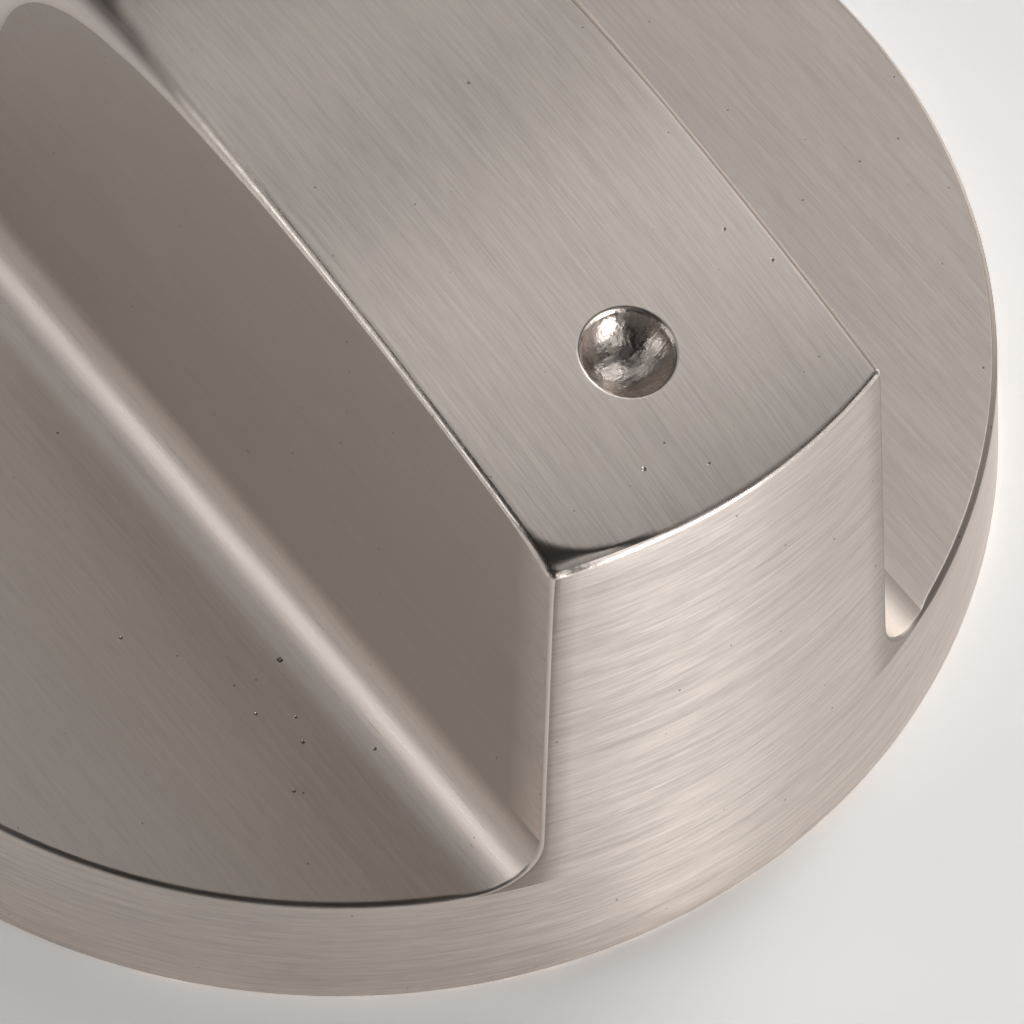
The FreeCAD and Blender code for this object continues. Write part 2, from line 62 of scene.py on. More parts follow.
# Pointer dimple
DIMPLE_Y = -13.4
DIMPLE_RADIUS = 1.35
DIMPLE_DEPTH = 0.9
DIMPLE_PATCH = 1.8

# Rounding between the skin and the round wall: at the front for each kind of column, and at the back
LIP_RADIUS = {"top": 0.12, "edge": 0.12, "wall": 0.09, "root": 0.09, "floor": 0.16}
BACK_LIP = 0.16
BASE_ROUNDING = 0.25

# Underside: cavity round the boss, ribs, bore with the flange's seat and the keyway, and the bar's two cores
BELOW = 1.0
CAVITY_RADIUS = 18.2
CAVITY_DEPTH = 3.1
CAVITY_DRAFT = math.tan(math.radians(2.0))
BOSS_RADIUS = 7.5
RIB_TURNS = (0.0, 35.0, -35.0)
RIB_HALF = 0.6
RIB_REACH = 18.6
RIB_FOOT, RIB_TOP = 1.5, 3.6
SEAT_RADIUS = 7.75
SEAT_DEPTH = 1.5
BORE_RADIUS = 5.02
BORE_DEPTH = 15.3
KEYWAY_HALF = 1.22
KEYWAY_NEAR, KEYWAY_FAR = -4.05, -5.92
KEYWAY_DEPTH = 9.8
CORE_HALF = 3.8
FRONT_CORE = ((-17.25, -BELOW), (-8.5, -BELOW), (-8.5, 17.79), (-15.91, 17.79))
FRONT_CORE_ROUNDING = 1.0
REAR_CORE = ((8.5, -BELOW), (12.52, -BELOW), (12.52, 4.7), (9.35, 11.8), (8.5, 11.8))

# Grid counts; the top's outermost columns are doubled
TOP_COLUMNS = 25
CORNER_COLUMNS = 5
EDGE_COLUMNS = 6
WALL_COLUMNS = 14
ROOT_COLUMNS = 12
FLOOR_COLUMNS = 36
DIMPLE_CELLS = 8
SIDE_STEPS = 4


def lerp(table, x):
    """A value read off a table of (place, value) pairs."""
    for (x0, v0), (x1, v1) in zip(table, table[1:]):
        if x <= x1:
            return v0 + (v1 - v0) * max(0.0, x - x0) / (x1 - x0)
    return table[-1][1]


def bar_top_joints():
    """Circles and joints of the bar's long profile, as (centre, joint) values in (y, z)."""
    crown = Vector((0.0, HEIGHT - CROWN_RADIUS))
    crest_apex, foot_apex = Vector((CREST_APEX, HEIGHT)), Vector((FOOT_APEX, FLOOR))
    slope = (foot_apex - crest_apex).normalized()
    inwards = Vector((slope.y, -slope.x))
    offset = crest_apex + inwards * CREST_RADIUS - crown
    along = offset.dot(slope)
    shift = -along - math.sqrt(along ** 2 - offset.length_squared + (CROWN_RADIUS - CREST_RADIUS) ** 2)
    crest = crown + offset + slope * shift
    crown_end = crown + (crest - crown).normalized() * CROWN_RADIUS
    crest_end = crest - inwards * CREST_RADIUS
    half = (-slope).angle(Vector((1.0, 0.0))) / 2
    reach = FOOT_RADIUS / math.tan(half)
    foot_start = foot_apex - slope * reach
    foot_end = foot_apex.x + reach
    foot = Vector((foot_end, FLOOR + FOOT_RADIUS))
    return crown, crown_end, crest, crest_end, foot, foot_start, foot_end


CROWN, CROWN_END, CREST, CREST_END, FOOT, FOOT_START, FOOT_END = bar_top_joints()


def top_height(y):
    """Height of the bar's ridge."""
    if y <= CROWN_END.x:
        return CROWN.y + math.sqrt(CROWN_RADIUS ** 2 - y ** 2)
    if y <= CREST_END.x:
        return CREST.y + math.sqrt(CREST_RADIUS ** 2 - (y - CREST.x) ** 2)
    if y <= FOOT_START.x:
        t = (y - CREST_END.x) / (FOOT_START.x - CREST_END.x)
        return CREST_END.y + (FOOT_START.y - CREST_END.y) * t
    if y < FOOT_END:
        return FOOT.y - math.sqrt(FOOT_RADIUS ** 2 - (y - FOOT.x) ** 2)
    return FLOOR


def top_slope(y):
    """How much longer the ridge is than its run along Y."""
    step = 0.01
    return math.hypot(1.0, (top_height(y + step) - top_height(y - step)) / (2 * step))


# Side of the bar: a drafted wall, the root's arc, then the floor
ROOT_Z = FLOOR + ROOT_RADIUS
ROOT_X = BAR_HALF + (HEIGHT - ROOT_Z) * math.tan(BAR_DRAFT) + ROOT_RADIUS / math.cos(BAR_DRAFT)
WALL_FOOT_X = ROOT_X - ROOT_RADIUS * math.cos(BAR_DRAFT)
WALL_FOOT_Z = ROOT_Z - ROOT_RADIUS * math.sin(BAR_DRAFT)
ROOT_SWEEP = math.pi / 2 - BAR_DRAFT
ROOT_ARC = ROOT_RADIUS * ROOT_SWEEP


def side_point(s):
    """Point (x, z) on the side, s millimetres along it from the wall's foot; up the wall is negative."""
    if s <= 0:
        return WALL_FOOT_X + s * math.sin(BAR_DRAFT), WALL_FOOT_Z - s * math.cos(BAR_DRAFT)
    if s <= ROOT_ARC:
        turn = math.pi + BAR_DRAFT + s / ROOT_RADIUS
        return ROOT_X + ROOT_RADIUS * math.cos(turn), ROOT_Z + ROOT_RADIUS * math.sin(turn)
    return ROOT_X + (s - ROOT_ARC), FLOOR


def arc_weights(t):
    """Weights of start, corner and end for a point on the rounding between two faces."""
    return (1 - t) ** 2, math.sqrt(2) * t * (1 - t), t ** 2


def side_at_height(z):
    """Where along the side it stands at a height."""
    if z >= WALL_FOOT_Z:
        return -(z - WALL_FOOT_Z) / math.cos(BAR_DRAFT)
    drop = min(1.0, max(-1.0, (ROOT_Z - z) / ROOT_RADIUS))
    return (math.asin(drop) - BAR_DRAFT) * ROOT_RADIUS


# Columns of the outer skin, from the ridge outwards: what each one follows and how far along it it is
COLUMNS = [("top", i / TOP_COLUMNS) for i in range(TOP_COLUMNS - CORNER_COLUMNS)]
COLUMNS += [("top", 1.0 - i / TOP_COLUMNS / 2) for i in range(2 * CORNER_COLUMNS, -1, -1)]
COLUMNS += [("edge", i / EDGE_COLUMNS) for i in range(1, EDGE_COLUMNS + 1)]
COLUMNS += [("wall", i / WALL_COLUMNS) for i in range(1, WALL_COLUMNS + 1)]
COLUMNS += [("root", i / ROOT_COLUMNS) for i in range(1, ROOT_COLUMNS + 1)]
BAR_COLUMNS = len(COLUMNS)
COLUMNS += [("floor", i / FLOOR_COLUMNS) for i in range(1, FLOOR_COLUMNS + 1)]
TOP_END = TOP_COLUMNS + CORNER_COLUMNS
EDGE_END = TOP_END + EDGE_COLUMNS


# How the upper edge's rounding sits: its reach along both faces, its fading out and its share of what is left
EDGE_REACH = 0.96
EDGE_FADE = 2.5
EDGE_SHARE = 0.45


def skin_point(column, y):
    """Point of the skin in a column at a place along the bar, for the +X half."""
    kind, t = COLUMNS[column]
    height = top_height(y)
    crossing = side_at_height(height)
    remaining = ROOT_ARC - crossing
    radius = lerp(EDGE_LAW, y) * min(1.0, remaining / EDGE_FADE)
    inner = radius * EDGE_REACH
    outer = min(inner * top_slope(y), remaining * EDGE_SHARE)
    corner_x = side_point(crossing)[0]
    start_x = corner_x - inner
    if kind == "top":
        return Vector((start_x * t, y, height))
    if kind == "edge":
        end_x, end_z = side_point(crossing + outer)
        weights = arc_weights(t)
        total = sum(weights)
        x = (weights[0] * start_x + weights[1] * corner_x + weights[2] * end_x) / total
        z = (weights[0] * height + weights[1] * height + weights[2] * end_z) / total
        return Vector((x, y, z))
    wall_start = crossing + outer
    wall_end = max(0.0, wall_start + (ROOT_ARC - wall_start) * 0.5 if wall_start > -1.0 else 0.0)
    if kind == "wall":
        s = wall_start + (wall_end - wall_start) * t
    else:
        s = wall_end + (ROOT_ARC - wall_end) * t
    x, z = side_point(s)
    return Vector((x, y, z))


def wall_radius(z):
    """Radius of the drafted round wall at a height."""
    return RIM_RADIUS - z * SKIRT_SLOPE


def end_of_column(column, side, inset):
    """Where a column of the bar meets the round wall, moved in by an inset, at its front (-1) or back (1)."""
    near, far = 15.5, 20.5
    for _ in range(50):
        middle = (near + far) / 2
        p = skin_point(column, side * middle)
        if math.hypot(p.x, p.y) < wall_radius(p.z) - inset:
            near = middle
        else:
            far = middle
    return side * near


FLOOR_RIM = wall_radius(FLOOR)


def floor_corner(t):
    """Where a floor column meets the round wall, in the +X +Y quarter."""
    turn = math.acos(ROOT_X / FLOOR_RIM) * (1 - t)
    return FLOOR_RIM * math.cos(turn), FLOOR_RIM * math.sin(turn)


def skin_rows():
    """Places along the bar for the rows of the skin; the first and last stretch with the ends."""
    front = [-18.54 + 0.1275 * i for i in range(17)] + [-16.2, -15.9, -15.55]
    step = DIMPLE_PATCH / DIMPLE_CELLS
    dimple = [DIMPLE_Y - DIMPLE_PATCH + step * i for i in range(2 * DIMPLE_CELLS + 1)]
    rows = front + dimple
    for end, pace in ((-8.4, 0.4), (2.0, 0.5), (9.2, 0.3), (13.6, 0.5), (16.6, 0.3)):
        count = max(1, round((end - rows[-1]) / pace))
        start = rows[-1]
        rows += [start + (end - start) * (i + 1) / count for i in range(count)]
    return rows + [17.1, 17.6, 18.2, 18.9, 19.65]


ROWS = skin_rows()
FRONT_STRETCH, BACK_STRETCH = -16.5, 16.6


def row_place(row, front, back):
    """A row's place along a column whose ends are given."""
    y = ROWS[row]
    if y < FRONT_STRETCH:
        return FRONT_STRETCH + (front - FRONT_STRETCH) * (y - FRONT_STRETCH) / (ROWS[0] - FRONT_STRETCH)
    if y > BACK_STRETCH:
        return BACK_STRETCH + (back - BACK_STRETCH) * (y - BACK_STRETCH) / (ROWS[-1] - BACK_STRETCH)
    return y


def lip_radius(column):
    """Rounding between a column of the skin and the round wall at the front."""
    return LIP_RADIUS[COLUMNS[column][0]]


class Skin:
    """Mesh under construction, with the run of the brush lines and, at each corner, the surface's kind with its
    painted highlight and painted shade.
    """

    def __init__(self):
        self.mesh = bmesh.new()
        self.grain = self.mesh.loops.layers.uv.new("grain")
        self.zone = self.mesh.loops.layers.float_color.new("zone")

    def vertex(self, point):
        return self.mesh.verts.new(point)

    def face(self, corners, zone):
        """One face; corners are (vertex, along, across) in brush coordinates, and may add a zone of their own."""
        kept = []
        for corner in corners:
            if all(corner[0] is not other[0] for other in kept):
                kept.append(corner)
        if len(kept) < 3:
            return
        try:
            face = self.mesh.faces.new([corner[0] for corner in kept])
        except ValueError:
            return
        face.smooth = True
        for loop, corner in zip(face.loops, kept):
            loop[self.grain].uv = (corner[1], corner[2])
            loop[self.zone] = corner[3] if len(corner) > 3 else zone


# Zones: red marks the round wall and red with green the dimple, green alone a rough painted highlight on edges,
# blue painted shade; the underside has no alpha
ZONE_FLAT = (0.0, 0.0, 0.0, 1.0)
ZONE_WALL = (1.0, 0.0, 0.0, 1.0)
ZONE_DIMPLE = (1.0, 1.0, 0.0, 1.0)
# Painted shade on the lips of the knob's right side
ZONE_PAINTED_SHADE_LIP = (0.0, 0.0, 0.7, 1.0)
# Painted highlight on the front lip of the bar's top
ZONE_PAINTED_HIGHLIGHT_LIP = (0.0, 0.8, 0.0, 1.0)
ZONE_CAST = (0.0, 0.0, 0.0, 0.0)

# Brush coordinates across the lines, kept apart: the bar's side and floor, the round wall, the lips
SIDE_RUN = 40.0
WALL_RUN = 60.0
LIP_RUN = 80.0

# The bar's front left corner sags in a thin crescent along both of its edges
CRESCENT_CORNER = (-5.74, -17.62)
CRESCENT_REACH = (3.4, 1.7)
CRESCENT_DEPTH = 0.4
CRESCENT_TOP_ONLY = 17.0


def worn_corner(p):
    """How far the bar's front left corner sags at a point of its top."""
    if p.x > 0 or p.z < CRESCENT_TOP_ONLY:
        return 0.0
    across = max(0.0, p.x - CRESCENT_CORNER[0])
    front = -math.sqrt(wall_radius(p.z) ** 2 - p.x ** 2) + lip_radius(0)
    back = max(0.0, p.y - front)
    level = 1.0 - math.sqrt(across / CRESCENT_REACH[0]) - math.sqrt(back / CRESCENT_REACH[1])
    return CRESCENT_DEPTH * min(0.6, max(0.0, level))


def side_run(p):
    """Brush coordinate across the lines on the bar's side, its root and the floor."""
    if p.z > FLOOR + 1e-6:
        return SIDE_RUN + side_at_height(p.z)
    return SIDE_RUN + ROOT_ARC + abs(p.x) - ROOT_X


def ramp(value, start, end):
    """0 at the start and 1 at the end, held beyond them."""
    return min(1.0, max(0.0, (value - start) / (end - start)))


# How strongly painted shade darkens the bar's side walls towards the shade brown
WALL_PAINTED_SHADE = 0.45


def skin_zone(kind, sign, p, row):
    """Painted highlight and painted shade of the skin at a corner: a painted highlight on the left upper edge and
    at the side walls' front ends, painted shade on the right upper edge, the roots and the side walls, and a
    darker line behind the front lip.
    """
    painted_highlight, painted_shade = 0.0, 0.0
    if kind == "edge":
        # Painted highlight along the left upper edge, growing toward the front; painted shade along the right one
        painted_highlight = ramp(p.y, 2.0, -5.0) if sign < 0 else 0.0
        painted_shade = 0.0 if sign < 0 else 0.8
    elif kind == "top" and row == 0:
        # A darker line on the top's first row, just behind the front lip
        painted_shade = 0.3
    elif kind == "root":
        # Painted shade over the right root, and over the upper part of the left one as on the walls
        painted_shade = 0.55 if sign > 0 else WALL_PAINTED_SHADE * ramp(p.z, 5.8, 6.6)
    elif kind == "wall":
        front = math.sqrt(wall_radius(p.z) ** 2 - p.x ** 2) + p.y
        # Side walls: a painted highlight near their front ends, painted shade further back
        painted_highlight = 0.4 * ramp(front, 1.6, 0.2)
        painted_shade = WALL_PAINTED_SHADE * ramp(front, 0.2, 1.6)
    return 0.0, painted_highlight, painted_shade, 1.0


def build_skin():
    """The casting's whole outer surface down to the flat bottom, closed."""
    skin = Skin()
    count = len(ROWS)
    places, points, across = [], [], []
    for c, (kind, t) in enumerate(COLUMNS):
        inset = lip_radius(c)
        if kind != "floor":
            front, back = end_of_column(c, -1, inset), end_of_column(c, 1, BACK_LIP)
            places.append([row_place(r, front, back) for r in range(count)])
            points.append([skin_point(c, y) for y in places[c]])
        else:
            rim_x, rim_y = floor_corner(t)
            last = places[BAR_COLUMNS - 1]
            inner = (FLOOR_RIM - inset) / FLOOR_RIM
            places.append([y / abs(last[0] if y < 0 else last[-1]) * rim_y * inner for y in last])
            x = rim_x * (FLOOR_RIM - inset) / FLOOR_RIM
            points.append([Vector((x, y, FLOOR)) for y in places[c]])
    # Brush coordinate across the lines on the top and its edges: distance from the ridge
    for r in range(count):
        total, line = 0.0, [0.0]
        for c in range(1, EDGE_END + 1):
            total += math.hypot(points[c][r].x - points[c - 1][r].x, points[c][r].z - points[c - 1][r].z)
            line.append(total)
        across.append(line)

    signed = [(-1, c) for c in range(len(COLUMNS) - 1, 0, -1)] + [(1, c) for c in range(len(COLUMNS))]
    grid = []
    for sign, c in signed:
        line = []
        for r in range(count):
            p = points[c][r].copy()
            p.x *= sign
            p.z -= worn_corner(p)
            line.append(skin.vertex(p))
        grid.append(line)
    middle = len(COLUMNS) - 1
    first_row = min(range(count), key=lambda r: abs(ROWS[r] - (DIMPLE_Y - DIMPLE_PATCH)))
    last_row = first_row + 2 * DIMPLE_CELLS

    def corner(i, r, kind):
        sign, c = signed[i]
        vertex = grid[i][r]
        run = across[r][c] if kind in ("top", "edge") else side_run(vertex.co)
        return vertex, vertex.co.y, sign * run, skin_zone(kind, sign or 1, vertex.co, r)

    for i in range(len(signed) - 1):
        inside = middle - DIMPLE_CELLS <= i < middle + DIMPLE_CELLS
        kind = COLUMNS[max(signed[i][1], signed[i + 1][1])][0]
        for r in range(count - 1):
            if inside and first_row <= r < last_row:
                continue
            places_round = ((i, r), (i + 1, r), (i + 1, r + 1), (i, r + 1))
            skin.face([corner(*place, kind) for place in places_round], ZONE_FLAT)
    add_dimple(skin, grid, middle, first_row, last_row)
    add_round_wall(skin, grid, signed, count)
    return skin


def add_dimple(skin, grid, middle, first_row, last_row):
    """Rings from the square hole in the grid to the dimple's lip and down its ball-shaped hollow."""
    low, high = middle - DIMPLE_CELLS, middle + DIMPLE_CELLS
    # The hole's edge, counted round, with each vertex's turn about the dimple
    border = [(i, first_row) for i in range(low, high)]
    border += [(high, r) for r in range(first_row, last_row)]
    border += [(i, last_row) for i in range(high, low, -1)]
    border += [(low, r) for r in range(last_row, first_row, -1)]
    ring = [grid[i][r] for i, r in border]
    turns = [math.atan2(v.co.y - DIMPLE_Y, v.co.x) for v in ring]
    ball = (DIMPLE_RADIUS ** 2 + DIMPLE_DEPTH ** 2) / (2 * DIMPLE_DEPTH)
    tilt = math.atan2(-DIMPLE_Y, math.sqrt(CROWN_RADIUS ** 2 - DIMPLE_Y ** 2))
    normal = Vector((0.0, -math.sin(tilt), math.cos(tilt)))

    def lip_point(reach, turn):
        y = DIMPLE_Y + reach * math.sin(turn) * math.cos(tilt)
        return Vector((reach * math.cos(turn), y, top_height(y)))

    def depth(reach):
        return math.sqrt(ball ** 2 - reach ** 2) - (ball - DIMPLE_DEPTH)

    outer = DIMPLE_RADIUS + 0.07
    rings = [(None, step / 4, 0.0, ZONE_FLAT) for step in (1, 2, 3)]
    rings.append((outer + 0.05, None, 0.0, ZONE_FLAT))
    rings.append((outer, None, 0.0, ZONE_FLAT))
    rings.append((outer - 0.03, None, 0.012, ZONE_FLAT))
    rings.append((outer - 0.06, None, 0.05, ZONE_FLAT))
    rings.append((DIMPLE_RADIUS - 0.02, None, depth(DIMPLE_RADIUS - 0.02) + 0.03, ZONE_DIMPLE))
    steps = 16
    for k in range(1, steps):
        reach = (DIMPLE_RADIUS - 0.04) * math.cos(math.pi / 2 * k / steps)
        rings.append((reach, None, depth(reach), ZONE_DIMPLE))
    start = [v.co.copy() for v in ring]
    for reach, share, sunk, zone in rings:
        new = []
        for k, turn in enumerate(turns):
            if share is not None:
                target = lip_point(outer + 0.05, turn)
                p = start[k].lerp(target, share)
                p.z = top_height(p.y)
            else:
                p = lip_point(reach, turn) - normal * sunk
            new.append(skin.vertex(p))
        for k in range(len(ring)):
            n = (k + 1) % len(ring)
            corners = [(v, v.co.y, v.co.x) for v in (ring[k], ring[n], new[n], new[k])]
            skin.face(corners, zone)
        ring = new
    centre = skin.vertex(Vector((0.0, DIMPLE_Y, top_height(DIMPLE_Y))) - normal * DIMPLE_DEPTH)
    for k in range(len(ring)):
        n = (k + 1) % len(ring)
        skin.face([(v, v.co.y, v.co.x) for v in (ring[k], ring[n], centre)], ZONE_DIMPLE)


def lip_cells(grid, signed, loop):
    """Start, corner and end of the rolled lip at each place of the skin's edge."""
    cells = {}
    for i, r in loop:
        sign, c = signed[i]
        side = -1 if r == 0 else 1
        kind, t = COLUMNS[c]
        inset = lip_radius(c) if side < 0 else BACK_LIP
        normal = Vector((0, 0, 1))
        if kind == "floor":
            x, y = floor_corner(t)
            corner = Vector((sign * x, side * y, FLOOR))
        else:
            y = end_of_column(c, side, 0.0)
            corner = skin_point(c, y)
            here, there = max(0, c - 1), min(BAR_COLUMNS - 1, c + 1)
            tangent = skin_point(there, y) - skin_point(here, y)
            rise = Vector((-tangent.z, 0, tangent.x))
            if rise.length >= 1e-5:
                normal = rise
            normal.normalize()
            corner.x *= sign
            normal.x *= sign
            corner.z -= worn_corner(corner)
        outwards = Vector((corner.x, corner.y, 0)).normalized()
        cone_normal = (outwards + Vector((0, 0, SKIRT_SLOPE))).normalized()
        inwards = -(normal - cone_normal * normal.dot(cone_normal)).normalized()
        outer = corner + inwards * inset
        flat = Vector((outer.x, outer.y, 0)).normalized() * wall_radius(outer.z)
        cells[(i, r)] = (grid[i][r].co.copy(), corner, Vector((flat.x, flat.y, outer.z)))
    return cells


def gather_edges(cells, signed, loop):
    """Draw the outer points in front of each upper edge into one corner, so that the nose keeps a clean grid."""
    for sign in (-1, 1):
        group = [k for k in loop if k[1] == 0 and signed[k[0]][0] * sign > 0
                 and TOP_END <= signed[k[0]][1] <= EDGE_END]
        wall_side = max((cells[k][2] for k in group), key=lambda p: abs(p.x))
        top_side = max((cells[k][2] for k in group), key=lambda p: p.z)
        shared = Vector((wall_side.x, 0, top_side.z))
        shared.y = -math.sqrt(wall_radius(shared.z) ** 2 - shared.x ** 2)
        for k in group:
            cells[k] = (cells[k][0], cells[k][1], shared)


def wall_corner(v):
    """A vertex of the round wall with its brush coordinates, which run round the knob."""
    turn = math.atan2(v.co.x, -v.co.y)
    return v, turn * RIM_RADIUS, WALL_RUN + v.co.z


def roll_lips(skin, grid, signed, loop, cells):
    """The rolled lips all round the skin's edge; hands back the outer vertex of each place."""
    lips, outer_vertex, gathered = {}, {}, {}
    for key in loop:
        inner, corner, outer = cells[key]
        strip = [grid[key[0]][key[1]]]
        for k in range(1, SIDE_STEPS):
            weights = arc_weights(k / SIDE_STEPS)
            point = (inner * weights[0] + corner * weights[1] + outer * weights[2]) / sum(weights)
            strip.append(skin.vertex(point))
        name = tuple(round(v, 6) for v in outer)
        if name not in gathered:
            gathered[name] = skin.vertex(outer)
        strip.append(gathered[name])
        lips[key] = strip
        outer_vertex[key] = gathered[name]

    def lip_corner(key, k):
        v = lips[key][k]
        return v, math.atan2(v.co.x, -v.co.y) * RIM_RADIUS, LIP_RUN + 0.05 * k

    for n in range(len(loop)):
        a, b = loop[n], loop[(n + 1) % len(loop)]
        if a[0] == b[0]:
            continue
        sign, c = signed[max(a[0], b[0])]
        # The right side's lips take painted shade; the front lip of the top takes a painted highlight
        zone = ZONE_PAINTED_SHADE_LIP if sign > 0 and c > EDGE_END else ZONE_FLAT
        if a[1] == 0 and c <= TOP_END:
            zone = ZONE_PAINTED_HIGHLIGHT_LIP
        for k in range(SIDE_STEPS):
            skin.face([lip_corner(a, k), lip_corner(a, k + 1), lip_corner(b, k + 1), lip_corner(b, k)], zone)
    return outer_vertex


def nose_painted_shade(p):
    """Painted shade on the nose: darker and rougher toward its two side edges, more so on the left."""
    edge = BAR_HALF + (HEIGHT - p.z) * math.tan(BAR_DRAFT) - abs(p.x)
    return 1.0, 0.0, (0.7 if p.x < 0 else 0.4) * ramp(edge, 0.8, 0.0), 1.0


def add_nose(skin, cells, outer_vertex):
    """The bar's front: rows follow its side edges from the floor up, columns follow the top's."""
    half = len(COLUMNS) - 1
    rows = list(range(BAR_COLUMNS - 1, EDGE_END - 1, -1))
    left = [cells[(half - c, 0)][2] for c in rows]
    right = [cells[(half + c, 0)][2] for c in rows]
    tops = [(half + c, 0) for c in range(-TOP_END, TOP_END + 1)]
    arc = [cells[key][2] for key in tops]
    nose = []
    for k in range(len(rows)):
        line = []
        v = (right[k].z - right[0].z) / (right[-1].z - right[0].z)
        for j in range(len(tops)):
            if j == 0:
                line.append(outer_vertex[(half - rows[k], 0)])
            elif j == len(tops) - 1:
                line.append(outer_vertex[(half + rows[k], 0)])
            elif k == len(rows) - 1:
                line.append(outer_vertex[tops[j]])
            else:
                u = j / (len(tops) - 1)
                spread = (arc[j].x - arc[0].x) / (arc[-1].x - arc[0].x)
                share = u + (spread - u) * v
                x = left[k].x + (right[k].x - left[k].x) * share
                low = left[0].z + (right[0].z - left[0].z) * share
                z = low + (arc[j].z - low) * v
                line.append(skin.vertex(Vector((x, -math.sqrt(wall_radius(z) ** 2 - x * x), z))))
        nose.append(line)
    for k in range(len(nose) - 1):
        for j in range(len(tops) - 1):
            quad = [nose[k][j], nose[k][j + 1], nose[k + 1][j + 1], nose[k + 1][j]]
            skin.face([wall_corner(v) + (nose_painted_shade(v.co),) for v in quad], ZONE_WALL)
    return nose[0]


def add_skirt(skin, nose_foot, outer_vertex, count):
    """One closed loop under nose, floors and tail, led down to the flat bottom."""
    half = len(COLUMNS) - 1
    top_loop = list(nose_foot)
    top_loop += [outer_vertex[(half + c, 0)] for c in range(BAR_COLUMNS, len(COLUMNS))]
    top_loop += [outer_vertex[(half + c, count - 1)] for c in range(len(COLUMNS) - 2, -1, -1)]
    top_loop += [outer_vertex[(half - c, count - 1)] for c in range(1, len(COLUMNS))]
    top_loop += [outer_vertex[(half - c, 0)] for c in range(len(COLUMNS) - 2, BAR_COLUMNS - 1, -1)]
    ring = []
    for v in top_loop:
        if not ring or ring[-1] is not v:
            ring.append(v)
    if ring[0] is ring[-1]:
        ring.pop()
    profile = [(wall_radius(z), z) for z in (3.8, 2.9, 2.0, 1.2, 0.6, BASE_ROUNDING)]
    for k in range(1, 5):
        turn = math.pi / 2 * k / 4
        profile.append((RIM_RADIUS - BASE_ROUNDING + BASE_ROUNDING * math.cos(turn),
                        BASE_ROUNDING - BASE_ROUNDING * math.sin(turn)))
    total = len(ring)
    previous = ring
    for radius, z in profile:
        line = []
        for v in ring:
            flat = Vector((v.co.x, v.co.y, 0)).normalized() * radius
            line.append(skin.vertex(Vector((flat.x, flat.y, z))))
        for n in range(total):
            m = (n + 1) % total
            corners = [wall_corner(v) for v in (line[n], line[m], previous[m], previous[n])]
            turns = [c[1] for c in corners]
            # Where the brush coordinate starts anew, its low side goes on from the high one
            if max(turns) - min(turns) > RIM_RADIUS * math.pi:
                corners = [(v, a + (2 * math.pi * RIM_RADIUS if a < 0 else 0.0), b) for v, a, b in corners]
            skin.face(corners, ZONE_WALL)
        previous = line
    bottom = skin.mesh.faces.new(list(reversed(previous)))
    for item in bottom.loops:
        item[skin.grain].uv = (item.vert.co.y, item.vert.co.x)
        item[skin.zone] = ZONE_CAST


def add_round_wall(skin, grid, signed, count):
    """Rolled lips around the skin's edge, the nose and skirt wall below them, and the flat bottom."""
    # Edge of the skin as a loop: front from left to right, then back from right to left
    loop = [(i, 0) for i in range(len(signed))] + [(i, count - 1) for i in range(len(signed) - 1, -1, -1)]
    cells = lip_cells(grid, signed, loop)
    gather_edges(cells, signed, loop)
    outer_vertex = roll_lips(skin, grid, signed, loop, cells)
    add_skirt(skin, add_nose(skin, cells, outer_vertex), outer_vertex, count)


def new_object(name, mesh):
    """A mesh object in the scene, its millimetres turned into metres."""
    bmesh.ops.scale(mesh, vec=(MM, MM, MM), verts=mesh.verts)
    data = bpy.data.meshes.new(name)
    mesh.to_mesh(data)
    mesh.free()
    item = bpy.data.objects.new(name, data)
    bpy.context.scene.collection.objects.link(item)
    return item


def finished(skin, name):
    """The skin as an object, its doubled points joined and its faces turned outwards."""
    bmesh.ops.remove_doubles(skin.mesh, verts=skin.mesh.verts, dist=1e-5)
    bmesh.ops.recalc_face_normals(skin.mesh, faces=skin.mesh.faces)
    return new_object(name, skin.mesh)


def prism(name, outline, low, high, axis="Z"):
    """A closed prism over a flat outline, for cutting the underside; low and high are along its axis."""
    skin = Skin()

    def place(point, level):
        if axis == "Z":
            return Vector((point[0], point[1], level))
        return Vector((level, point[0], point[1]))

    rings = [[skin.vertex(place(point, level)) for point in outline] for level in (low, high)]
    for ring in rings:
        skin.face([(v, v.co.y, v.co.x) for v in ring], ZONE_CAST)
    for k in range(len(outline)):
        n = (k + 1) % len(outline)
        quad = (rings[0][k], rings[0][n], rings[1][n], rings[1][k])
        skin.face([(v, v.co.y, v.co.x) for v in quad], ZONE_CAST)
    return finished(skin, name)


def lathe(name, profile, segments=160):
    """A closed ring turned about the knob's axis from a profile of (radius, z) points."""
    skin = Skin()
    rings = []
    for k in range(segments):
        turn = 2 * math.pi * k / segments
        rings.append([skin.vertex(Vector((r * math.cos(turn), r * math.sin(turn), z))) for r, z in profile])
    for k in range(segments):
        n = (k + 1) % segments
        for i in range(len(profile)):
            j = (i + 1) % len(profile)
            quad = (rings[k][i], rings[n][i], rings[n][j], rings[k][j])
            skin.face([(v, v.co.y, v.co.x) for v in quad], ZONE_CAST)
    return finished(skin, name)


def rounded(outline, radius, turned):
    """An outline with the listed corners rounded."""
    points = []
    for i, corner in enumerate(outline):
        corner = Vector(corner)
        if i not in turned:
            points.append(corner)
            continue
        before = (Vector(outline[i - 1]) - corner).normalized()
        after = (Vector(outline[(i + 1) % len(outline)]) - corner).normalized()
        half = before.angle(after) / 2
        reach = radius / math.tan(half)
        centre = corner + (before + after).normalized() * (radius / math.sin(half))
        start, end = corner + before * reach - centre, corner + after * reach - centre
        for k in range(9):
            points.append(centre + start.slerp(end, k / 8))
    return points


def circle(radius, segments=128):
    return [(radius * math.cos(2 * math.pi * k / segments), radius * math.sin(2 * math.pi * k / segments))
            for k in range(segments)]


